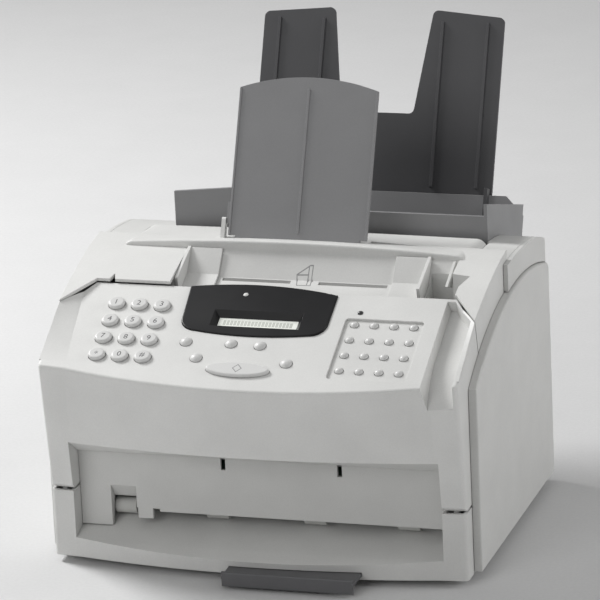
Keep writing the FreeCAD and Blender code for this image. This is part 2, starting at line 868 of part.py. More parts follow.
def is_crease(edge):
    """Front edge of the panel."""
    centre = edge.CenterOfMass
    local = panel_place.inverse().multVec(centre)
    ends = [vertex.Point.y for vertex in edge.Vertexes]
    return abs(local.z) < wall and max(ends) < front_corner_y and edge.Length > band_width / 2


# Top cover with the document inlet

def hood_section(y, z, crown, drop):
    """Upright outline of the hood across the machine, with a crowned top."""
    half = hood_half_width - drop
    low = hood_low_z - drop
    start, end = Vector(-half, y, z - drop), Vector(half, y, z - drop)
    crest = Part.Arc(start, Vector(0, y, z + crown - drop), end).toShape()
    low_start, low_end = Vector(-half, y, low), Vector(half, y, low)
    edges = [crest, Part.makeLine(end, low_end), Part.makeLine(low_end, low_start),
             Part.makeLine(low_start, start)]
    return Part.Wire(edges)


def top_envelope(drop):
    bands = curved_prism(top_profile, top_side_low_z - drop, drop - half_body, half_body - drop, drop)
    hood = Part.makeLoft([hood_section(hood_front_y + drop, hood_front_z, hood_crown_front, drop),
                          hood_section(hood_rear_y - drop, hood_rear_z, hood_crown_rear, drop)], True, True)
    if drop == 0:
        hood = rounded(hood, hood_end_round, is_hood_end)
        hood = rounded(hood, hood_edge_round, is_hood_crest)
    return bands.fuse(hood)


def is_hood_end(edge):
    centre = edge.CenterOfMass
    return abs(centre.x) > hood_half_width - 1 and centre.z > hood_rear_z and not along_z(edge)


def is_hood_crest(edge):
    """Front and rear edges of the hood's crowned top."""
    centre = edge.CenterOfMass
    middle = (hood_front_y + hood_rear_y) / 2
    return centre.z > hood_rear_z - 1 and abs(centre.x) < 1 and abs(centre.y - middle) > hood_edge_round


def inlet_profile(drop, rear):
    """Ramp that a document slides down, with the space above it."""
    steep = math.atan2(hood_front_z - inlet_ramp_z, hood_front_y - inlet_ramp_y)
    return [(rear + drop, far), (rear + drop, hood_front_z - inlet_lip),
            (inlet_ramp_y + drop * math.sin(steep), inlet_ramp_z - drop),
            (inlet_front_y, inlet_front_z - drop)]


def inlet_pocket(grow, front_y):
    """Pocket beside the right document guide, wider in front than the inlet; grown, it is its tub."""
    start_x = feed_x + guide_gap / 2 + guide_fence + pocket_gap - grow
    front_x, rear_x, rear_y = pocket_front_x + grow, inlet_right + grow, pocket_rear_y + grow
    plan = [(start_x, front_y), (front_x, front_y), (front_x, pocket_bend_y),
            (pocket_wide_x + grow, pocket_wide_y), (rear_x, pocket_step_y + grow), (rear_x, rear_y),
            (start_x, rear_y)]
    corners = [Vector(x, y, pocket_floor_z - grow) for x, y in plan]
    return Part.Face(Part.makePolygon(corners + corners[:1])).extrude(Vector(0, 0, far))


def inlet_space():
    mouth_y = inlet_front_y - 10 * wall
    points = inlet_profile(0, hood_front_y) + [(mouth_y, inlet_front_z - 7 * wall), (mouth_y, far)]
    return side_prism(points, inlet_left, inlet_right)


def ramp_height(y):
    """Height of the inlet ramp at a plan position on its flat front part."""
    rise = (inlet_ramp_z - inlet_front_z) / (inlet_ramp_y - inlet_front_y)
    return inlet_front_z + rise * (y - inlet_front_y)


def top_cover():
    outer = top_envelope(0).common(behind_parting(lid_seam_gap))
    shell = outer.cut(top_envelope(wall))
    trough_points = inlet_profile(wall, hood_front_y) + [(inlet_front_y, far)]
    trough = side_prism(trough_points, inlet_left - wall, inlet_right + wall)
    depth = wall + support_thickness
    socket = box(-support_width / 2, support_width / 2, -depth, depth, -support_tongue - wall,
                 hood_crown_front + 2 * wall)
    socket = placed(socket, support_place)
    tub = inlet_pocket(wall, pocket_floor_y)
    shell = join([shell, trough.common(outer), socket.common(outer), tub.common(outer)]).cut(inlet_space())
    shell = shell.cut(inlet_pocket(0, panel_rear_y - wall))
    shell = shell.cut(placed(support_tongue_space(), support_place))
    slit_y = inlet_ramp_y - inlet_slit_inset
    slit_half = guide_gap / 2 - guide_foot_width - inlet_slit_margin
    for near, far_end in ((-slit_half, -inlet_slit_margin * 3), (inlet_slit_margin * 3, slit_half)):
        shell = shell.cut(box(feed_x + near, feed_x + far_end, slit_y - inlet_slit_width, slit_y,
                              inlet_front_z - 2 * wall, inlet_ramp_z + 1))
    rib_points = [(hood_front_y, hood_front_z - inlet_lip), (inlet_ramp_y, inlet_ramp_z),
                  (inlet_ramp_y - inlet_rib_reach, inlet_ramp_z + inlet_rib_rise)]
    rib = side_prism(rib_points, inlet_rib_x, inlet_rib_x + inlet_rib_width)
    bores = rod_x(-far, far, (top_hinge_y, top_hinge_z()), top_pin_radius + running_fit)
    return join([shell, rib, support_bracket_solid()]).cut(bores).cut(corner_notch()).cut(hood_slot())


def support_bracket_solid():
    """Upright on the hood beside the left edge of the document support."""
    x1 = -support_width / 2 - support_ear - support_bracket_gap
    half = support_bracket_half
    bracket = box(x1 - support_bracket, x1, -half, half, -support_bracket_root, support_bracket_top)
    bracket = rounded(bracket, support_bracket_round,
                      lambda e: along_x(e) and e.CenterOfMass.z > support_bracket_top - 1)
    return placed(bracket, support_place)


def corner_notch():
    """Small notch in the front edge of the top cover, where its left band begins."""
    front_y = panel_rear_y - notch_overrun
    plan = [(notch_x - notch_width / 2, front_y), (notch_x + notch_width / 2, front_y),
            (notch_x, panel_rear_y + notch_length)]
    corners = [Vector(x, y, panel_z) for x, y in plan]
    return Part.Face(Part.makePolygon(corners + corners[:1])).extrude(Vector(0, 0, far))


def hood_slot():
    """Tapering slot in the hood that runs on from the document support to the right."""
    start_x = support_width / 2 + hood_slot_gap
    plan = [(start_x, hood_slot_front_y), (hood_slot_tip_x, hood_slot_tip_y), (start_x, hood_slot_rear_y)]
    corners = [Vector(x, y, hood_front_z - 2 * wall) for x, y in plan]
    return Part.Face(Part.makePolygon(corners + corners[:1])).extrude(Vector(0, 0, far))


def top_hinge_z():
    """Height of the hood's pins, under the deck."""
    (y0, z0), (y1, z1) = deck_profile[1], deck_profile[2]
    return z0 + (z1 - z0) * (top_hinge_y - y0) / (y1 - y0) - top_pin_drop


def guide_solid(side):
    """Document guide: a fence and, on its inner side, a foot that lies on the ramp under the sheet."""
    inner_x = feed_x + side * guide_gap / 2
    rear = hood_front_y - guide_rear_clear
    steep = (hood_front_z - inlet_lip - inlet_ramp_z) / (hood_front_y - inlet_ramp_y)
    rear_z = inlet_ramp_z + steep * (rear - inlet_ramp_y) + slide_gap
    front_z = ramp_height(guide_front_y) + slide_gap
    floor = [(guide_front_y, front_z), (inlet_ramp_y, inlet_ramp_z + slide_gap), (rear, rear_z)]
    fence_points = floor + [(rear, hood_front_z - guide_top_drop),
                            (guide_front_y - guide_nose, panel_z + guide_nose_rise)]
    foot_points = floor + [(rear, rear_z + 2 * guide_foot_thickness),
                           (inlet_ramp_y - 1, inlet_ramp_z + slide_gap + guide_foot_thickness),
                           (guide_front_y, front_z + guide_foot_thickness)]
    fence = side_prism(fence_points, inner_x, inner_x + side * guide_fence)
    foot = side_prism(foot_points, inner_x - side * guide_foot_width, inner_x + side * guide_fence)
    return join([fence, foot])


# Document support

def support_plate(grow, low, high, half_width):
    depth = support_thickness / 2 + grow
    return box(-half_width - grow, half_width + grow, -depth, depth, low, high)


def support_tongue_space():
    half = support_width / 2 - support_tongue_inset
    return support_plate(slide_gap, -support_tongue - slide_gap, far / 8, half)


def document_support():
    half = support_width / 2
    low = support_seat
    corners = [Vector(-half, 0, low), Vector(half, 0, low), Vector(half, 0, support_length)]
    left_top = Vector(-half, 0, support_length)
    arch = Part.Arc(corners[2], Vector(0, 0, support_length + support_arch), left_top).toShape()
    edges = [Part.makeLine(corners[0], corners[1]), Part.makeLine(corners[1], corners[2]), arch,
             Part.makeLine(left_top, corners[0])]
    plate = Part.Face(Part.Wire(edges)).extrude(Vector(0, support_thickness, 0))
    plate.translate(Vector(0, -support_thickness / 2, 0))
    face = -support_thickness / 2
    pieces = [plate, support_plate(0, -support_tongue, low + 1, half - support_tongue_inset)]
    for x in (-half, half - support_rim):
        pieces.append(box(x, x + support_rim, face - support_rim_height, 0, low, support_length - 1))
    rib_low = low + 2 * support_rib
    pieces.append(box(-support_rib / 2, support_rib / 2, face - support_rim_height, 0,
                      rib_low, support_length))
    pieces.append(box(-half - support_ear, -half + 1, face, -face, support_ear_low, support_ear_high))
    return placed(join(pieces), support_place)


# Rear cover, side covers

def side_outline(grow, x0, x1):
    """Side cover outline with its arched top, grown outwards."""
    front, rear, low = side_front_y - grow, side_rear_y + grow, side_low_z - grow
    front_top = Vector(x0, front, side_front_top_z + grow)
    rear_top = Vector(x0, rear, side_rear_top_z + grow)
    arch = Part.Arc(front_top, Vector(x0, side_mid_y, side_mid_z + grow), rear_top).toShape()
    edges = [arch, Part.makeLine(rear_top, Vector(x0, rear, low)),
             Part.makeLine(Vector(x0, rear, low), Vector(x0, front, low)),
             Part.makeLine(Vector(x0, front, low), front_top)]
    return Part.Face(Part.Wire(edges)).extrude(Vector(x1 - x0, 0, 0))


def side_cover_right():
    outer_x = side_inner_x + side_thickness
    plate = side_outline(0, side_inner_x, outer_x)
    plate = rounded(plate, side_corner_round, lambda e: along_x(e) and e.CenterOfMass.y > side_rear_y - 1
                    and e.CenterOfMass.z > side_mid_y)
    plate = rounded(plate, side_edge_round, lambda e: abs(e.CenterOfMass.x - outer_x) < 1e-6)
    bosses = [rod_x(frame_half_width, side_inner_x, (y, z), side_boss_radius)
              for y in side_boss_y for z in side_boss_z]
    return join([plate] + bosses)


def rear_cover():
    deck = list(deck_profile[:-1]) + [(rear_face_y, deck_profile[-1][1])]
    outer = curved_prism(deck, base_height, -half_body, half_body)
    lowered = [(y, z) for y, z in deck[:-1]] + [(rear_face_y - wall, deck[-1][1] + 1)]
    inner = curved_prism(lowered, base_height - 1, wall - half_body, half_body - wall, wall)
    shell = outer.cut(inner)
    cheek_curve = [(cheek_front_y, cheek_front_z)] + deck
    cheek = curved_prism(cheek_curve, side_front_top_z, side_inner_x, half_body + cheek_proud)
    root = curved_prism(deck, side_front_top_z, half_body - wall, half_body + cheek_proud / 2, wall / 2)
    cheek = cheek.fuse(root)
    cheek = cheek.cut(side_outline(seam_gap, half_body, half_body + 3 * cheek_proud))
    shell = join([shell, cheek, mirrored(cheek)])
    half_tray = tray_width / 2 + slide_gap
    opening = box(stack_x - half_tray, stack_x + half_tray, 0, far, tray_low_z - 8, far)
    shell = shell.cut(opening)
    reach = hood_half_width + seam_gap
    shell = shell.cut(box(-reach, reach, 0, hood_rear_y + hood_swing_gap, hood_low_z - 2 * wall, far))
    pin_z = top_hinge_z()
    ear_x = hood_half_width + seam_gap
    ear = box(ear_x, ear_x + top_ear, top_hinge_y - top_ear, top_hinge_y + top_ear, pin_z - top_ear,
              pin_z + top_pin_drop - wall / 2)
    pin = rod_x(hood_half_width - wall, ear_x + top_ear / 2, (top_hinge_y, pin_z), top_pin_radius)
    hinge = ear.fuse(pin)
    shell = join([shell, hinge, mirrored(hinge)])
    return shell.cut(Part.makeCompound(screw_bores()))


def screw_bores():
    reach = screw_shank_length + wall
    radius = screw_shank_radius + screw_hole_fit
    return [Part.makeCylinder(radius, reach, Vector(x, rear_face_y + 1 - reach, z), Vector(0, 1, 0))
            for x, z in screw_places]


# Paper tray, support and guide

def stack_s(z):
    """Distance along the stack plane for a height."""
    return (z - stack_z) / math.cos(math.radians(stack_tilt))


def stack_y_at(z):
    return stack_y + (z - stack_z) * math.tan(math.radians(stack_tilt))


def paper_tray():
    half = tray_width / 2
    joint = stack_s(tray_joint_z)
    low_s, corner_s = stack_s(tray_low_z), joint - tray_corner
    outline = [(-half, low_s), (half, low_s), (half, corner_s), (half - tray_corner, joint),
               (tray_corner - half, joint), (-half, corner_s)]
    corners = [Vector(x, 0, s) for x, s in outline]
    back = Part.Face(Part.makePolygon(corners + corners[:1])).extrude(Vector(0, tray_wall, 0))
    back = placed(back, stack_place)
    left, right = stack_x - half, stack_x + half
    front = box(left, right, tray_front_y, tray_front_y + tray_wall, tray_front_low_z, tray_front_z)
    end_right = left + tray_end_width
    outline = [(left, tray_front_low_z), (end_right, tray_front_low_z), (end_right, tray_end_z),
               (left, tray_side_front_z)]
    corners = [Vector(x, tray_front_y, z) for x, z in outline]
    end = Part.Face(Part.makePolygon(corners + corners[:1])).extrude(Vector(0, tray_wall, 0))
    chute_points = [(tray_front_y, tray_front_low_z), (tray_front_y + tray_wall, tray_front_low_z),
                    (tray_chute_y + tray_wall, tray_chute_z), (tray_chute_y, tray_chute_z)]
    chute = side_prism(chute_points, left, right)
    side_points = [(tray_front_y, tray_front_low_z), (tray_front_y, tray_side_front_z),
                   (stack_y_at(tray_side_rear_z), tray_side_rear_z), (stack_y_at(tray_low_z), tray_low_z),
                   (tray_chute_y, tray_chute_z)]
    walls = [side_prism(side_points, left, left + tray_wall),
             side_prism(side_points, right - tray_wall, right)]
    loops = []
    for offset in (-fin_tongue_offset, fin_tongue_offset):
        reach = fin_tongue_width / 2 + slide_gap
        depth = tray_wall + fin_tongue_thickness + 2 * slide_gap
        low, high = joint - fin_tongue_length + 2 * fin_loop, joint - 4 * fin_loop
        outer = box(offset - reach - fin_loop, offset + reach + fin_loop, tray_wall, depth + fin_loop,
                    low, high)
        hole = box(offset - reach, offset + reach, tray_wall - 1, depth, low - 1, high + 1)
        loops.append(placed(outer.cut(hole), stack_place))
    return join([back, front, end, chute] + walls + loops)


def paper_support():
    low = stack_s(tray_joint_z) + slide_gap
    outline = [(-fin_outer, low), (fin_outer, low), (fin_outer, stack_s(fin_outer_z)),
               (fin_notch_top, stack_s(fin_inner_z)), (fin_notch_low, stack_s(fin_notch_z)),
               (-fin_notch_low, stack_s(fin_notch_z)), (-fin_notch_top, stack_s(fin_inner_z)),
               (-fin_outer, stack_s(fin_outer_z))]
    corners = [Vector(x, 0, s) for x, s in outline]
    plate = Part.Face(Part.makePolygon(corners + corners[:1])).extrude(Vector(0, fin_thickness, 0))
    notch_s = stack_s(fin_notch_z)
    plate = rounded(plate, fin_round,
                    lambda e: e.Length < 1.1 * fin_thickness and e.CenterOfMass.z > notch_s - 1)
    pieces = [plate]
    rib_high = stack_s(fin_outer_z) - fin_round
    for offset in fin_ribs:
        for x in (-offset, offset):
            pieces.append(box(x - fin_rib_width / 2, x + fin_rib_width / 2, -fin_rib_height, 1,
                              low + fin_round, rib_high))
    for offset in (-fin_tongue_offset, fin_tongue_offset):
        x0, x1 = offset - fin_tongue_width / 2, offset + fin_tongue_width / 2
        d0 = tray_wall + slide_gap
        d1 = d0 + fin_tongue_thickness
        root = low + 4 * fin_loop
        pieces.append(box(x0, x1, d0, d1, low - fin_tongue_length, root))
        pieces.append(box(x0, x1, 1, d1, low, root))
    return placed(join(pieces), stack_place)


def paper_guide():
    x = paper_width / 2 + paper_side_play
    low, high = stack_s(paper_guide_low_z), stack_s(paper_guide_high_z)
    foot_top = stack_s(tray_joint_z) - paper_guide_step
    lift = slide_gap + paper_guide_sheet
    fin = box(x, x + paper_guide_thickness, -paper_guide_height, -slide_gap, low, foot_top)
    head = box(x, x + paper_guide_thickness, -paper_guide_height, -paper_guide_head_gap, low, high)
    foot = box(x, x + paper_guide_foot, -lift, -slide_gap, low, foot_top)
    return placed(join([fin, head, foot]), stack_place)


# Delivery tray, chassis, rollers

def delivery_tray():
    low = base_top_of_floor + slide_gap / 2
    lip_y = delivery_lip_y + delivery_lip
    plate = box(delivery_left, delivery_right, delivery_lip_y, delivery_rear_y,
                low, low + delivery_thickness)
    lip = box(delivery_left, delivery_right, delivery_lip_y, lip_y, delivery_lip_low_z, delivery_lip_high_z)
    lip = rounded(lip, delivery_lip / 3, lambda e: along_x(e) or along_z(e))
    return join([plate, lip])


def chassis():
    inner_x = frame_half_width - frame_sheet
    low = base_top_of_floor
    profile = [(frame_front_y, low), (frame_rear_y, low), (frame_rear_y, frame_top_z),
               (frame_ear_rear_y, frame_top_z), (frame_ear_rear_y, frame_ear_top_z),
               (frame_ear_front_y, frame_ear_top_z), (frame_ear_front_y, frame_brow_z),
               (frame_front_y, inner_wing_top_z)]
    side = side_prism(profile, inner_x, frame_half_width)
    floor = box(-frame_half_width, frame_half_width, frame_floor_front_y, frame_rear_y,
                low, low + frame_floor_sheet)
    deck = box(-inner_x, inner_x, deck_plate_front_y, deck_plate_rear_y,
               deck_plate_z, deck_plate_z + frame_floor_sheet)
    shelf = box(inner_x - shelf_width, inner_x, shelf_front_y, shelf_rear_y,
                shelf_z - frame_floor_sheet, shelf_z)
    pieces = [side, mirrored(side), floor, deck, shelf, mirrored(shelf)]
    stand_low = low + frame_floor_sheet
    for x in (main_board_left + board_stand_inset, main_board_right - board_stand_inset):
        for y in (main_board_front_y + board_stand_inset, main_board_rear_y - 2 * board_stand_inset):
            pieces.append(post(x, y, stand_low - 1, stand_low + board_stand_height, board_stand_radius))
    for x, z in screw_places:
        pieces.append(box(x - screw_block, x + screw_block, frame_rear_y - screw_block, rear_face_y - wall,
                          z - screw_block, z + screw_block))
    frame = join(pieces).cut(Part.makeCompound(screw_bores()))
    for place in (feed_roller_place, pickup_roller_place, exit_roller_place):
        frame = frame.cut(rod_x(-far, far, place, shaft_radius + running_fit))
    return frame


def roller(place, radius, sleeve_width, sleeve_places):
    reach = frame_half_width + shaft_overhang
    pieces = [rod_x(-reach, reach, place, shaft_radius)]
    for x in sleeve_places:
        sleeve = rod_x(x - sleeve_width / 2, x + sleeve_width / 2, place, radius)
        pieces.append(rounded(sleeve, sleeve_round, lambda e: len(e.Vertexes) == 1))
    return join(pieces)


def inner_front_panel():
    """Back of the bay: paper leaves under its edge, and a pocket at the left shows the exit roller."""
    y0 = bay_rear_y + inner_panel_gap
    y1 = frame_front_y
    half = bay_half_width - slide_gap
    plate = box(-half, half, y0, y1, inner_panel_low_z, inner_panel_top_z)
    wings = box(-frame_half_width, frame_half_width, y0, y1, inner_wing_low_z, inner_wing_top_z)
    block_low_z = bay_floor_height(y1) + inner_block_gap
    block = box(-half, inner_block_x, y0, y1, block_low_z, inner_panel_low_z + 1)
    panel = join([plate, wings, block])
    pocket = box(inner_block_x, inner_pocket_x, y0 - 1, y1 + 1, 0, inner_pocket_top_z)
    gap = box(inner_pocket_x - 1, inner_gap_x, y0 - 1, y1 + 1, 0, inner_gap_top_z)
    panel = panel.cut(pocket).cut(gap)
    for x in inner_slot_places:
        half_slot = inner_slot_width / 2
        panel = panel.cut(box(x - half_slot, x + half_slot, y0 - 1, y1 + 1, inner_slot_low_z, far))
    roof_y = y0 + inner_pocket_depth
    roof = side_prism([(y0, inner_pocket_top_z), (roof_y, inner_pocket_rear_z),
                       (roof_y, inner_pocket_rear_z + wall), (y0, inner_pocket_top_z + wall)],
                      inner_block_x, inner_pocket_x)
    cheek = side_prism([(y0, inner_pocket_top_z + wall), (roof_y, inner_pocket_rear_z + wall),
                        (roof_y, inner_pocket_rear_z), (y1, block_low_z), (y0, block_low_z)],
                       inner_block_x - wall, inner_block_x)
    x0 = inner_pocket_x + inner_tab_gap
    tab = box(x0, x0 + inner_tab_width, y0, y1, inner_tab_low_z, inner_gap_top_z + 1)
    return join([panel, roof, cheek, tab])


# Print engine and boards

def toner_cartridge():
    rear_y = toner_front_y + toner_depth
    top_z = shelf_z + toner_height
    body = box(-toner_half_length, toner_half_length, toner_front_y, rear_y, shelf_z, top_z)
    body = rounded(body, toner_round, lambda e: along_x(e) and e.CenterOfMass.z > shelf_z + 1)
    drum_y = toner_front_y + toner_round
    drum_half = frame_half_width - frame_sheet - shelf_width - drum_end_gap
    recess = rod_x(-drum_half, drum_half, (drum_y, shelf_z), drum_radius + drum_recess)
    drum = rod_x(-drum_half, drum_half, (drum_y, shelf_z + 2 * drum_recess), drum_radius)
    middle_y = toner_front_y + toner_depth / 2
    grip = box(-toner_grip_half, toner_grip_half, middle_y - toner_grip_height, middle_y + toner_grip_height,
               top_z - 1, top_z + toner_grip_height)
    return join([body.cut(recess), drum, grip])


def laser_unit():
    low = deck_plate_z + frame_floor_sheet
    top_z = low + laser_height
    half, rear_y = laser_half_length, laser_front_y + laser_depth
    body = box(-half, half, laser_front_y, rear_y, low, top_z)
    lid = box(-half - laser_lid, half + laser_lid, laser_front_y - laser_lid, rear_y + laser_lid,
              top_z, top_z + laser_lid)
    motor = post(0, laser_front_y + laser_depth / 2, top_z, top_z + laser_motor_height, laser_motor_radius)
    return join([rounded(body, laser_round, along_z), lid, motor])


def socket_block(x, width, height, depth, cavity_depth):
    """Block at the board's rear edge with a cavity open to the back."""
    top = main_board_top
    block = box(x, x + width, main_board_rear_y - depth, body_rear_y - 1, top, top + height)
    cavity = box(x + socket_wall, x + width - socket_wall, body_rear_y - cavity_depth, body_rear_y,
                 top + socket_wall, top + height - socket_wall)
    return block.cut(cavity)


def main_board():
    """Board with the power inlet and two line jacks at its rear edge."""
    low = main_board_top - board_thickness
    board = box(main_board_left, main_board_right, main_board_front_y, main_board_rear_y,
                low, main_board_top)
    x, width, height = inlet_block
    pieces = [board, socket_block(x, width, height, inlet_depth, inlet_cavity)]
    for offset in (-inlet_pin_pitch, 0, inlet_pin_pitch):
        start = Vector(x + width / 2 + offset, body_rear_y - inlet_cavity - 1, main_board_top + height / 2)
        pieces.append(Part.makeCylinder(inlet_pin_radius, inlet_pin_length, start, Vector(0, 1, 0)))
    for jack_x in jack_places:
        pieces.append(socket_block(jack_x, jack_size, jack_size, jack_depth, jack_cavity))
    for chip_x, chip_y, size in chip_places:
        pieces.append(box(chip_x, chip_x + size, chip_y, chip_y + size, low, main_board_top + chip_height))
    return join(pieces)


def base_with_sockets():
    """Base casing with the openings for the power inlet and the jacks in its rear wall."""
    low = main_board_top - socket_fit
    spaces = [inlet_block] + [(jack_x, jack_size, jack_size) for jack_x in jack_places]
    cuts = []
    for x, width, height in spaces:
        cuts.append(box(x - socket_fit, x + width + socket_fit, body_rear_y - 2 * wall, body_rear_y + 1,
                        low, main_board_top + height + socket_fit))
    return base_casing().cut(Part.makeCompound(cuts))


def rubber_feet():
    feet = []
    for x in (foot_inset_x - half_body, half_body - foot_inset_x):
        for y in (foot_front_y, body_rear_y - foot_rear_inset):
            foot = post(x, y, 0, foot_height, foot_radius)
            feet.append(rounded(foot, foot_round, lambda e: len(e.Vertexes) == 1 and e.CenterOfMass.z < 1))
    return Part.makeCompound(feet)


def screws():
    solids = []
    for x, z in screw_places:
        start = Vector(x, rear_face_y, z)
        head = Part.makeCylinder(screw_head_radius, screw_head_height, start, Vector(0, 1, 0))
        head = rounded(head, screw_head_round,
                       lambda e: len(e.Vertexes) == 1 and e.CenterOfMass.y > rear_face_y + 1)
        shank = Part.makeCylinder(screw_shank_radius, screw_shank_length, start, Vector(0, -1, 0))
        floor_y = rear_face_y + screw_head_height - screw_slot_depth
        long, short = screw_slot_length / 2, screw_slot_width / 2
        cross = [box(x - long, x + long, floor_y, far, z - short, z + short),
                 box(x - short, x + short, floor_y, far, z - long, z + long)]
        solids.append(head.fuse(shank).removeSplitter().cut(Part.makeCompound(cross)))
    return Part.makeCompound(solids)


def build_nodes():
    right = side_cover_right()
    nodes = {
        "base_casing": base_with_sockets(), "chassis": chassis(), "inner_front_panel": inner_front_panel(),
        "operation_cover": operation_cover(), "display_bezel": display_bezel(),
        "display_glass": display_glass(), "key_board": key_board(), "top_cover": top_cover(),
        "document_support": document_support(), "document_guide_left": guide_solid(-1),
        "document_guide_right": guide_solid(1), "side_cover_right": right,
        "side_cover_left": mirrored(right), "rear_cover": rear_cover(), "paper_tray": paper_tray(),
        "paper_support": paper_support(), "paper_guide": paper_guide(), "delivery_tray": delivery_tray(),
        "toner_cartridge": toner_cartridge(), "laser_unit": laser_unit(), "main_board": main_board(),
        "rubber_feet": rubber_feet(), "screws": screws(),
        "document_feed_roller": roller(feed_roller_place, feed_roller_radius, roller_sleeve_width,
                                       feed_sleeve_places),
        "pickup_roller": roller(pickup_roller_place, pickup_roller_radius, roller_sleeve_width,
                                pickup_sleeve_places),
        "exit_roller": roller(exit_roller_place, exit_roller_radius, exit_sleeve_width, exit_sleeve_places)}
    for name, x, v, length, depth, height, floor in key_list():
        nodes[name] = key_solid(x, v, length, depth, height, floor)
    return nodes


def origin_of(nodes):
    """Bottom centre of the box around everything."""
    bounds = FreeCAD.BoundBox()
    for shape in nodes.values():
        bounds.add(shape.optimalBoundingBox(False, False))
    return Vector(bounds.Center.x, bounds.Center.y, bounds.ZMin)


def main():
    os.makedirs("parts", exist_ok=True)
    nodes = build_nodes()
    origin = origin_of(nodes)
    for name, shape in nodes.items():
        moved = shape.copy()
        moved.translate(-origin)
        moved.exportStep("parts/%s.step" % name)
        print(name, len(moved.Solids), moved.isValid(), round(moved.Volume / 1000, 2))


if __name__ == "__main__":
    main()
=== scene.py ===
import json
import math

import bmesh
import bpy
from mathutils import Matrix, Vector
from mathutils.bvhtree import BVHTree


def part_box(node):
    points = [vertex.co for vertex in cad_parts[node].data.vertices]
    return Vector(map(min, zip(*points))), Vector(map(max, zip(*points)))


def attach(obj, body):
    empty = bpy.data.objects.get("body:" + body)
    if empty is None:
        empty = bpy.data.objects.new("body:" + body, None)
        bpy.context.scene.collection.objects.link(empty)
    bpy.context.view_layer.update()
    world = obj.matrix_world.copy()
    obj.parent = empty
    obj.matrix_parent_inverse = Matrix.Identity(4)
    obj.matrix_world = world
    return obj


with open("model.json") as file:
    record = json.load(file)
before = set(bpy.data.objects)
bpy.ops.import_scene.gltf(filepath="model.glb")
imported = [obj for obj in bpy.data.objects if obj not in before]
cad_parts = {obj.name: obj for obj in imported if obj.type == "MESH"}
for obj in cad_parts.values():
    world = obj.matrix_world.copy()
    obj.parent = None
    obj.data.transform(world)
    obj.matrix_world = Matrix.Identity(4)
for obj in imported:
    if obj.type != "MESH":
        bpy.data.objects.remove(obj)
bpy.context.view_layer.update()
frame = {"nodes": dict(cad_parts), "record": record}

nodes = frame["nodes"]
scene = bpy.context.scene
MM = 0.001

# ---------------------------------------------------------------- places
ORIGIN_Y = 193.12785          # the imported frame's origin in the drawing's own millimetres
PANEL_Y, PANEL_Z = 68.1, 210.8
PANEL_SLOPE = math.radians(25.1)


def place(x, y, z):
    """A point of the drawing, in millimetres, as a point of the frame in metres."""
    return Vector((x, y - ORIGIN_Y, z)) * MM


def panel_matrix(x, v):
    """Frame whose X runs across the key panel, Y up its slope and Z out of it."""
    slope = Matrix.Rotation(PANEL_SLOPE, 4, "X")
    offset = slope @ (Vector((x, v, 0)) * MM)
    return Matrix.Translation(place(0, PANEL_Y, PANEL_Z) + offset) @ slope


def panel_centre(node):
    """Middle of a node across the panel and up its slope, in millimetres."""
    inverse = panel_matrix(0, 0).inverted()
    spots = [inverse @ vertex.co / MM for vertex in nodes[node].data.vertices]
    return [(min(s[i] for s in spots) + max(s[i] for s in spots)) / 2 for i in (0, 1)]


# ---------------------------------------------------------------- materials
RAY_SAMPLES = 4               # rays of the bevel and occlusion nodes
WEAR_AND_HIGHLIGHT_FULL, WEAR_AND_HIGHLIGHT_NONE = 0.86, 0.995      # cosines of the turn from a face to its rounded edge, between which edges are lightened by wear and a painted highlight
LEVEL_BLUR = 0.1              # millimetres over which a change of colour at a height is softened
FLOW_SCALE, PATCH_SCALE, SMUDGE_SCALE = 22.0, 35.0, 9.0    # features in a metre
LOW, HIGH = 0.3, 0.7          # range that most of a noise falls in
SPECK_SIZE = 2.6              # size of a speck of colour against a grain of the surface
SPECK_LOW, SPECK_HIGH, SPECK_DARK, SPECK_SHARE = 0.35, 0.65, 0.93, 0.5
PAINTED_SHADE_REACH = 2.5             # millimetres over which occlusion paints shade into seams and hollows
PAINTED_SHADE_FULL, PAINTED_SHADE_NONE = 0.15, 0.75     # occlusion values at which the painted shade is fullest and gone
SMOOTHER, ROUGHER = 0.06, 0.08          # how far smudges move the roughness of plastic
DRAWN_SMOOTHER, DRAWN_ROUGHER = 0.08, 0.1
TARNISH = 0.86
METAL_EDGE = 0.3              # millimetres


def new_material(name):
    mat = bpy.data.materials.new(name)
    mat.use_nodes = True
    tree = mat.node_tree
    tree.nodes.clear()
    out = tree.nodes.new("ShaderNodeOutputMaterial")
    bsdf = tree.nodes.new("ShaderNodeBsdfPrincipled")
    tree.links.new(bsdf.outputs["BSDF"], out.inputs["Surface"])
    return mat, tree, bsdf


def object_coords(tree, scale=(1, 1, 1)):
    coords = tree.nodes.new("ShaderNodeTexCoord")
    mapping = tree.nodes.new("ShaderNodeMapping")
    mapping.inputs["Scale"].default_value = scale
    tree.links.new(coords.outputs["Object"], mapping.inputs["Vector"])
    return mapping.outputs["Vector"]


def noise(tree, vector, scale, detail=3.0, roughness=0.55):
    node = tree.nodes.new("ShaderNodeTexNoise")
    node.inputs["Scale"].default_value = scale
    node.inputs["Detail"].default_value = detail
    node.inputs["Roughness"].default_value = roughness
    tree.links.new(vector, node.inputs["Vector"])
    return node.outputs["Fac"]


def ramp(tree, fac, stops):
    node = tree.nodes.new("ShaderNodeValToRGB")
    cr = node.color_ramp
    while len(cr.elements) > len(stops):
        cr.elements.remove(cr.elements[-1])
    while len(cr.elements) < len(stops):
        cr.elements.new(1.0)
    for element, (at, colour) in zip(cr.elements, stops):
        element.position = at
        element.color = (*colour, 1.0)
    tree.links.new(fac, node.inputs["Fac"])
    return node.outputs["Color"]


def spread(tree, fac, low, high, from_low=LOW, from_high=HIGH):
    node = tree.nodes.new("ShaderNodeMapRange")
    node.inputs["From Min"].default_value = from_low
    node.inputs["From Max"].default_value = from_high
    node.inputs["To Min"].default_value = low
    node.inputs["To Max"].default_value = high
    tree.links.new(fac, node.inputs["Value"])
    return node.outputs["Result"]


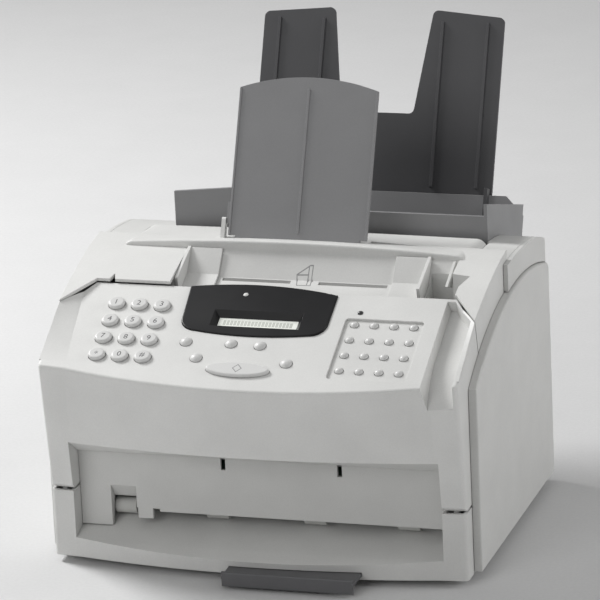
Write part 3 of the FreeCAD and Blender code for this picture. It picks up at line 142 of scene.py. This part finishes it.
def mix_colour(tree, fac, a, b, blend="MIX"):
    node = tree.nodes.new("ShaderNodeMix")
    node.data_type = "RGBA"
    node.blend_type = blend
    for socket, value in ((node.inputs[0], fac), (node.inputs[6], a), (node.inputs[7], b)):
        if isinstance(value, (int, float)):
            socket.default_value = value
        elif isinstance(value, tuple):
            socket.default_value = (*value, 1.0)
        else:
            tree.links.new(value, socket)
    return node.outputs[2]


def bump(tree, height, distance, normal):
    node = tree.nodes.new("ShaderNodeBump")
    node.inputs["Distance"].default_value = distance
    tree.links.new(height, node.inputs["Height"])
    tree.links.new(normal, node.inputs["Normal"])
    return node.outputs["Normal"]


def soft_edges(tree, radius):
    node = tree.nodes.new("ShaderNodeBevel")
    node.samples = RAY_SAMPLES
    node.inputs["Radius"].default_value = radius
    return node.outputs["Normal"]


def edge_wear(tree, rounded):
    """1 on sharp edges, which are lightened partly by handling wear and partly by a painted highlight,
    and 0 on open faces.
    """
    geometry = tree.nodes.new("ShaderNodeNewGeometry")
    turn = tree.nodes.new("ShaderNodeVectorMath")
    turn.operation = "DOT_PRODUCT"
    tree.links.new(rounded, turn.inputs[0])
    tree.links.new(geometry.outputs["Normal"], turn.inputs[1])
    return spread(tree, turn.outputs["Value"], 1.0, 0.0, WEAR_AND_HIGHLIGHT_FULL, WEAR_AND_HIGHLIGHT_NONE)


def crevice(tree, distance):
    node = tree.nodes.new("ShaderNodeAmbientOcclusion")
    node.samples = RAY_SAMPLES
    node.inputs["Distance"].default_value = distance
    return node.outputs["AO"]


def shade(colour, factor):
    return tuple(c * factor for c in colour)


def grey(level):
    return (level, level, level)


def above(tree, vector, level):
    """1 over a height of the frame, in metres, and 0 under it."""
    split = tree.nodes.new("ShaderNodeSeparateXYZ")
    tree.links.new(vector, split.inputs["Vector"])
    blur = LEVEL_BLUR * MM
    return spread(tree, split.outputs["Z"], 0.0, 1.0, level - blur, level + blur)


# Seams and hollows are darkened by occlusion: painted shade, whose strength is set per finish.
def moulded(name, colour, rough=0.5, grain=0.5, depth=0.012, mottle=0.035, painted_crease_shade=0.75, edge=0.5,
            wear_and_highlight_tone=1.06, gloss=0.42, upper=None):
    """Injection-moulded plastic: spark-eroded grain, flow mottling, painted shade in seams and hollows,
    edges lightened by wear and a painted highlight.

    upper is a height and the colour of whatever stands over it."""
    mat, tree, bsdf = new_material(name)
    vector = object_coords(tree)
    flow = noise(tree, vector, FLOW_SCALE, 4.0)
    tint = ramp(tree, flow, ((LOW, shade(colour, 1 - mottle)), (HIGH, shade(colour, 1 + mottle))))
    if upper:
        tint = mix_colour(tree, above(tree, vector, upper[0]), tint, upper[1])
    speck = noise(tree, vector, 1.0 / (grain * SPECK_SIZE * MM), 2.0)
    darker = ramp(tree, speck, ((SPECK_LOW, grey(SPECK_DARK)), (SPECK_HIGH, grey(1.0))))
    speckled = mix_colour(tree, SPECK_SHARE, tint, darker, "MULTIPLY")
    rounded = soft_edges(tree, edge * MM)
    # Rounded edges are lightened: partly handling wear, partly a painted highlight.
    worn_and_highlit = mix_colour(tree, edge_wear(tree, rounded), speckled, shade(colour, wear_and_highlight_tone))
    # Occlusion darkens seams, hollows and the feet of keys: painted shade.
    seams = crevice(tree, PAINTED_SHADE_REACH * MM)
    painted_seam_shade = ramp(tree, seams, ((PAINTED_SHADE_FULL, grey(painted_crease_shade)), (PAINTED_SHADE_NONE, grey(1.0))))
    tree.links.new(mix_colour(tree, 1.0, worn_and_highlit, painted_seam_shade, "MULTIPLY"), bsdf.inputs["Base Color"])
    smudge = noise(tree, vector, SMUDGE_SCALE, 5.0, 0.6)
    tree.links.new(spread(tree, smudge, rough - SMOOTHER, rough + ROUGHER), bsdf.inputs["Roughness"])
    texture = noise(tree, vector, 1.0 / (grain * MM), 2.0)
    tree.links.new(bump(tree, texture, depth * MM, rounded), bsdf.inputs["Normal"])
    bsdf.inputs["Specular IOR Level"].default_value = gloss
    return mat


def metal(name, colour, rough, brushed=(1, 1, 1), grain=0.25, depth=0.004):
    """Plated or cast metal with drawn lines or a sandy skin, tarnished in patches."""
    mat, tree, bsdf = new_material(name)
    lines = noise(tree, object_coords(tree, brushed), 1.0 / (grain * MM), 3.0)
    patch = noise(tree, object_coords(tree), PATCH_SCALE, 4.0)
    tarnished = ramp(tree, patch, ((LOW, shade(colour, TARNISH)), (HIGH, colour)))
    tree.links.new(tarnished, bsdf.inputs["Base Color"])
    drawn = spread(tree, lines, rough - DRAWN_SMOOTHER, rough + DRAWN_ROUGHER)
    tree.links.new(drawn, bsdf.inputs["Roughness"])
    rounded = soft_edges(tree, METAL_EDGE * MM)
    tree.links.new(bump(tree, lines, depth * MM, rounded), bsdf.inputs["Normal"])
    bsdf.inputs["Metallic"].default_value = 1.0
    return mat


COVER = (0.70, 0.70, 0.685)
CASING = (0.66, 0.66, 0.645)
INNER = (0.60, 0.60, 0.585)
BOARD = (0.012, 0.085, 0.03)
NUMBER_KEY = (0.66, 0.66, 0.65)
BLACK = (0.02, 0.02, 0.022)
CHIPS = (0.018, 0.018, 0.019)
PANE = (0.80, 0.82, 0.77)
PAINTED_GLOW = 0.25                   # strength of the glow painted into the display pane to brighten it
KEY = dict(rough=0.34, grain=0.35, depth=0.004, mottle=0.02, painted_crease_shade=0.6, edge=0.3)

PRINT = dict(rough=0.55, grain=0.2, depth=0.003, mottle=0.12, painted_crease_shade=1.0, edge=0.05)
RUBBER = dict(rough=0.7, grain=0.25, depth=0.02, mottle=0.08, painted_crease_shade=0.8, edge=0.2)
LAMINATE = dict(rough=0.3, grain=0.8, depth=0.01, mottle=0.12, painted_crease_shade=0.8, edge=0.2)
LAMP = dict(grain=0.5, depth=0.001, painted_crease_shade=0.9, edge=0.15, gloss=0.5)

mats = {
    "cover": moulded("cover_plastic", COVER, rough=0.46),
    "casing": moulded("casing_plastic", CASING),
    "inner": moulded("inner_plastic", INNER, rough=0.52),
    # The strong edge lightening on the dark plastics below is partly wear and partly a painted
    # highlight.
    "support": moulded("support_plastic", (0.25, 0.25, 0.255), rough=0.42, wear_and_highlight_tone=1.7),
    "fins": moulded("fin_plastic", (0.066, 0.066, 0.07), rough=0.44, wear_and_highlight_tone=2.0),
    "tray": moulded("tray_plastic", (0.12, 0.12, 0.125), rough=0.46, wear_and_highlight_tone=2.0),
    "bezel": moulded("bezel_plastic", (0.010, 0.010, 0.011), rough=0.32, grain=0.3, depth=0.004,
                     mottle=0.1, painted_crease_shade=0.9, edge=0.3, wear_and_highlight_tone=2.5, gloss=0.3),
    "number_keys": moulded("number_key_plastic", NUMBER_KEY, **KEY),
    "round_keys": moulded("round_key_plastic", NUMBER_KEY, **KEY),
    "start": moulded("start_key_plastic", (0.68, 0.68, 0.67), **KEY),
    "black": moulded("black_plastic", BLACK, rough=0.4, grain=0.4, depth=0.008, mottle=0.1, painted_crease_shade=0.9,
                     edge=0.3),
    "rubber": moulded("foot_rubber", (0.022, 0.022, 0.022), rough=0.78, grain=0.6, depth=0.03,
                      mottle=0.15, painted_crease_shade=0.8, edge=0.3),
    "roller": moulded("roller_rubber", (0.03, 0.03, 0.03), **RUBBER),
    "pale_roller": moulded("pale_roller_rubber", (0.52, 0.52, 0.50), **RUBBER),
    "steel": metal("zinc_steel", (0.56, 0.57, 0.58), rough=0.34, brushed=(1, 8, 8)),
    "aluminium": metal("cast_aluminium", (0.62, 0.62, 0.63), rough=0.42, grain=0.5, depth=0.02),
    "board": moulded("solder_mask", BOARD, **LAMINATE),
    "display": moulded("display_pane", PANE, rough=0.12, grain=0.6, depth=0.001, mottle=0.02, painted_crease_shade=0.95,
                       edge=0.1, wear_and_highlight_tone=1.0),
}
# The pane glows: painted light that brightens it beyond what the lamps give.
glowing_pane = mats["display"].node_tree.nodes["Principled BSDF"]
glowing_pane.inputs["Emission Color"].default_value = (*PANE, 1.0)
glowing_pane.inputs["Emission Strength"].default_value = PAINTED_GLOW
BOARD_TOP = 1.8               # millimetres from the main board's underside to just over its top
populated = moulded("populated_board", BOARD, **LAMINATE, wear_and_highlight_tone=1.0,
                    upper=(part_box("main_board")[0][2] + BOARD_TOP * MM, CHIPS))
ink = moulded("key_ink", (0.075, 0.075, 0.08), **PRINT)
pale_ink = moulded("panel_ink", (0.30, 0.30, 0.30), **PRINT)
cell_film = moulded("display_cell_film", (0.66, 0.68, 0.63), rough=0.2, grain=0.3, depth=0.002,
                    mottle=0.03, painted_crease_shade=1.0, edge=0.05, wear_and_highlight_tone=1.0)
white_lens = moulded("white_lens", (0.80, 0.80, 0.78), rough=0.16, mottle=0.02, wear_and_highlight_tone=1.1, **LAMP)
dark_lens = moulded("dark_lens", (0.05, 0.05, 0.052), rough=0.14, mottle=0.05, wear_and_highlight_tone=1.3, **LAMP)

slot_of = {row["node"]: row["material_slot"] for row in frame["record"]["subparts"]}
for node_name, obj in nodes.items():
    obj.data.materials.clear()
    obj.data.materials.append(populated if node_name == "main_board" else mats[slot_of[node_name]])

# ---------------------------------------------------------------- print and lamps on the panel
PRINT_LIFT = 0.03             # millimetres that print stands proud of what carries it
PRINT_DEPTH = 0.10
PRINT_CUTS = 3                # cuts in each edge, so that a print follows a curved face
CAST_FROM = 60.0              # millimetres over its carrier that a drawing is dropped from
MITRE_LEAST = 0.3             # smallest cosine that a mitre is drawn out by
GLYPH_STEPS = 6


def carrier(node):
    """A node's surface, to drop rays on."""
    shape = bmesh.new()
    shape.from_mesh(nodes[node].data)
    tree = BVHTree.FromBMesh(shape)
    shape.free()
    return tree


def finish_piece(name, shape, mat, body):
    mesh = bpy.data.meshes.new(name)
    shape.to_mesh(mesh)
    shape.free()
    mesh.materials.append(mat)
    piece = bpy.data.objects.new(name, mesh)
    scene.collection.objects.link(piece)
    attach(piece, body)
    return piece


def lay_on(name, points, faces, matrix, node, mat, slot, body):
    """A flat drawing in millimetres, dropped along its frame's Z on to a node and given thickness."""
    shape = bmesh.new()
    verts = [shape.verts.new((x * MM, y * MM, 0)) for x, y in points]
    for face in faces:
        shape.faces.new([verts[i] for i in face])
    bmesh.ops.subdivide_edges(shape, edges=shape.edges, cuts=PRINT_CUTS, use_grid_fill=True)
    tree = carrier(node)
    out = (matrix.to_3x3() @ Vector((0, 0, 1))).normalized()
    for vert in shape.verts:
        hit = tree.ray_cast(matrix @ vert.co + out * CAST_FROM * MM, -out)[0]
        vert.co = hit + out * PRINT_LIFT * MM
    shape.normal_update()
    bmesh.ops.reverse_faces(shape, faces=[face for face in shape.faces if face.normal.dot(out) < 0])
    piece = finish_piece(name, shape, mat, body)
    thick = piece.modifiers.new("thickness", "SOLIDIFY")
    thick.thickness = PRINT_DEPTH * MM
    thick.offset = -1.0
    return piece


def ring(corners, width):
    """Closed line of a given width through corners, with mitred turns."""
    points, faces = [], []
    count = len(corners)
    for i in range(count):
        before, here, after = [Vector(corners[(i + k) % count]) for k in (-1, 0, 1)]
        a, b = (here - before).normalized(), (after - here).normalized()
        side = Vector((a.y + b.y, -a.x - b.x)).normalized()
        reach = width / 2 / max(side.dot(Vector((a.y, -a.x))), MITRE_LEAST)
        points += [tuple(here + side * reach), tuple(here - side * reach)]
    for i in range(count):
        j = (i + 1) % count
        faces.append((2 * i, 2 * j, 2 * j + 1, 2 * i + 1))
    return points, faces


def bar(x0, y0, x1, y1, width):
    """Straight line of a given width."""
    along = Vector((x1 - x0, y1 - y0)).normalized() * (width / 2)
    dx, dy = -along.y, along.x
    corners = [(x0 + dx, y0 + dy), (x0 - dx, y0 - dy), (x1 - dx, y1 - dy), (x1 + dx, y1 + dy)]
    return corners, [(0, 1, 2, 3)]


def together(*drawings):
    """Several drawings as one."""
    points, faces = [], []
    for more_points, more_faces in drawings:
        faces += [tuple(i + len(points) for i in face) for face in more_faces]
        points += more_points
    return points, faces


def glyph(character, height):
    """A plain character, centred, with its own height in millimetres."""
    curve = bpy.data.curves.new("glyph", "FONT")
    curve.body = character
    curve.resolution_u = GLYPH_STEPS
    writer = bpy.data.objects.new("glyph", curve)
    mesh = bpy.data.meshes.new_from_object(writer)
    spots = [vertex.co.to_2d() for vertex in mesh.vertices]
    low = Vector((min(s.x for s in spots), min(s.y for s in spots)))
    high = Vector((max(s.x for s in spots), max(s.y for s in spots)))
    scale = height / (high.y - low.y)
    points = [tuple((s - (low + high) / 2) * scale) for s in spots]
    faces = [tuple(polygon.vertices) for polygon in mesh.polygons]
    bpy.data.meshes.remove(mesh)
    bpy.data.objects.remove(writer)
    bpy.data.curves.remove(curve)
    return points, faces


DIGIT_HEIGHT = 5.2
STAR_HEIGHT = 3.4
number_keys = [("key_%d" % digit, str(digit), DIGIT_HEIGHT) for digit in range(10)]
number_keys += [("key_star", "*", STAR_HEIGHT), ("key_hash", "#", DIGIT_HEIGHT)]
for node_name, character, height in number_keys:
    points, faces = glyph(character, height)
    lay_on(node_name + "_print", points, faces, panel_matrix(*panel_centre(node_name)), node_name,
           ink, "black", "button_" + node_name)

DIAMOND_X, DIAMOND_V, DIAMOND_LINE = 3.7, 4.3, 0.7
diamond = [(DIAMOND_X, 0), (0, DIAMOND_V), (-DIAMOND_X, 0), (0, -DIAMOND_V)]
lay_on("start_key_print", *ring(diamond, DIAMOND_LINE), panel_matrix(*panel_centre("start_key")),
       "start_key", pale_ink, "black", "button_start_key")

CELL_COLUMNS, CELL_PITCH, CELL_WIDTH, CELL_HEIGHT = 20, 3.0, 2.4, 5.6
cells = []
for column in range(CELL_COLUMNS):
    x = (column - (CELL_COLUMNS - 1) / 2) * CELL_PITCH
    cells.append(bar(x, -CELL_HEIGHT / 2, x, CELL_HEIGHT / 2, CELL_WIDTH))
lay_on("display_cells", *together(*cells), panel_matrix(*panel_centre("display_glass")), "display_glass",
       cell_film, "display", "operation_panel")

# Page drawn on the document ramp, in plan
PAGE_LINE = 0.8
page = [(9.0, 120.3), (20.6, 120.6), (19.8, 135.2), (17.4, 135.1), (7.0, 129.4)]
fold = bar(7.6, 129.2, 16.6, 129.5, PAGE_LINE)
edge_line = bar(16.7, 134.3, 17.3, 121.2, PAGE_LINE)
PAGE_OVER_Z = 240             # a height over the ramp
plan = Matrix.Translation(place(0, 0, PAGE_OVER_Z))
lay_on("page_mark", *together(ring(page, PAGE_LINE), fold, edge_line), plan, "top_cover",
       pale_ink, "cover", "top_lid")


LENS_STEPS = (8, 20, 32, 44, 56, 68, 78, 84)     # degrees from the dome's top
LENS_AROUND = 32
COLLAR_SHARE = 0.22           # collar's width against the lens's radius
COLLAR_PROFILE = ((0.0, 0.06), (0.3, 0.14), (0.7, 0.12), (1.0, 0.0))    # shares of width and height
COLLAR_SUNK = -0.3            # millimetres


def lens(name, x, v, node, radius, height, mat, slot):
    """Small domed lamp set in a collar on the panel."""
    matrix = panel_matrix(x, v)
    out = (matrix.to_3x3() @ Vector((0, 0, 1))).normalized()
    seat = carrier(node).ray_cast(matrix.translation + out * CAST_FROM * MM, -out)[0]
    frame_here = Matrix.Translation(seat) @ matrix.to_3x3().to_4x4()
    collar = COLLAR_SHARE * radius
    angles = [math.radians(step) for step in LENS_STEPS]
    profile = [(radius * math.sin(a), height * math.cos(a)) for a in angles]
    profile += [(radius + wide * collar, tall * height) for wide, tall in COLLAR_PROFILE]
    profile.append((radius + collar, COLLAR_SUNK))
    shape = bmesh.new()
    turns = [2 * math.pi * k / LENS_AROUND for k in range(LENS_AROUND)]
    rows = []
    for r, z in profile:
        circle = [Vector((r * math.cos(t), r * math.sin(t), z)) * MM for t in turns]
        rows.append([shape.verts.new(frame_here @ spot) for spot in circle])
    for upper, lower in zip(rows, rows[1:]):
        for k in range(LENS_AROUND):
            after = (k + 1) % LENS_AROUND
            shape.faces.new((upper[k], lower[k], lower[after], upper[after]))
    shape.faces.new(rows[0])
    shape.faces.new(rows[-1][::-1])
    for face in shape.faces:
        face.smooth = True
    bmesh.ops.recalc_face_normals(shape, faces=shape.faces)
    return finish_piece(name, shape, mat, "operation_panel")


STATUS_PLACE, STATUS_RADIUS, STATUS_HEIGHT = (-22.7, 15.5), 1.7, 0.9
ALARM_PLACE, ALARM_RADIUS, ALARM_HEIGHT = (78.5, 1.8), 2.1, 1.3
lens("status_lens", *STATUS_PLACE, "display_bezel", STATUS_RADIUS, STATUS_HEIGHT, white_lens, "start")
lens("alarm_lens", *ALARM_PLACE, "operation_cover", ALARM_RADIUS, ALARM_HEIGHT, dark_lens, "black")

# ---------------------------------------------------------------- camera, floor and light
LENS, SENSOR = 274.2, 36.0
FAR = 60.0
CAMERA_PLACE = (1102.5, -3328.3, 1350.0)          # millimetres of the drawing
CAMERA_FORWARD = (-0.2875, 0.9089, -0.3022)
CAMERA_LEVEL = (0.9534, 0.3017, 0.0)
CAMERA_ROLL = math.radians(-2.66)
camera_data = bpy.data.cameras.new("camera")
camera_data.lens = LENS
camera_data.sensor_width = SENSOR
camera_data.clip_end = FAR
camera = bpy.data.objects.new("camera", camera_data)
scene.collection.objects.link(camera)
forward = Vector(CAMERA_FORWARD).normalized()
level = Vector(CAMERA_LEVEL).normalized()
upright = level.cross(forward).normalized()
right = level * math.cos(CAMERA_ROLL) + upright * math.sin(CAMERA_ROLL)
up = -level * math.sin(CAMERA_ROLL) + upright * math.cos(CAMERA_ROLL)
turn = Matrix((right, up, -forward)).transposed().to_4x4()
camera.matrix_world = Matrix.Translation(place(*CAMERA_PLACE)) @ turn
scene.camera = camera


def area_light(name, at, target, size, power):
    data = bpy.data.lights.new(name, "AREA")
    data.shape = "DISK"
    data.size = size
    data.energy = power
    lamp = bpy.data.objects.new(name, data)
    lamp.location = at
    lamp.rotation_euler = (Vector(target) - Vector(at)).to_track_quat("-Z", "Y").to_euler()
    scene.collection.objects.link(lamp)


AIM = (0.0, 0.0, 0.18)
area_light("key_light", (-1.7, 0.5, 1.85), AIM, 0.8, 58.0)
area_light("side_light", (2.4, 0.3, 1.2), AIM, 1.4, 20.0)
area_light("front_light", (-0.9, -2.4, 1.3), AIM, 1.6, 14.0)

SKY_LIGHT = 0.30
world = bpy.data.worlds.new("studio")
scene.world = world
world.use_nodes = True
sky = world.node_tree.nodes["Background"]
sky.inputs["Color"].default_value = (1.0, 1.0, 1.0, 1.0)
sky.inputs["Strength"].default_value = SKY_LIGHT

FLOOR = (0.66, 0.66, 0.66)
FLOOR_CELLS, FLOOR_HALF = 8, 6.0
floor_mesh = bpy.data.meshes.new("floor")
shape = bmesh.new()
bmesh.ops.create_grid(shape, x_segments=FLOOR_CELLS, y_segments=FLOOR_CELLS, size=FLOOR_HALF)
shape.to_mesh(floor_mesh)
shape.free()
floor = bpy.data.objects.new("floor", floor_mesh)
scene.collection.objects.link(floor)
floor_mesh.materials.append(moulded("floor_paper", FLOOR, rough=0.7, grain=1.2, depth=0.02, mottle=0.01,
                                    painted_crease_shade=1.0, wear_and_highlight_tone=1.0))

scene.view_settings.view_transform = "Standard"
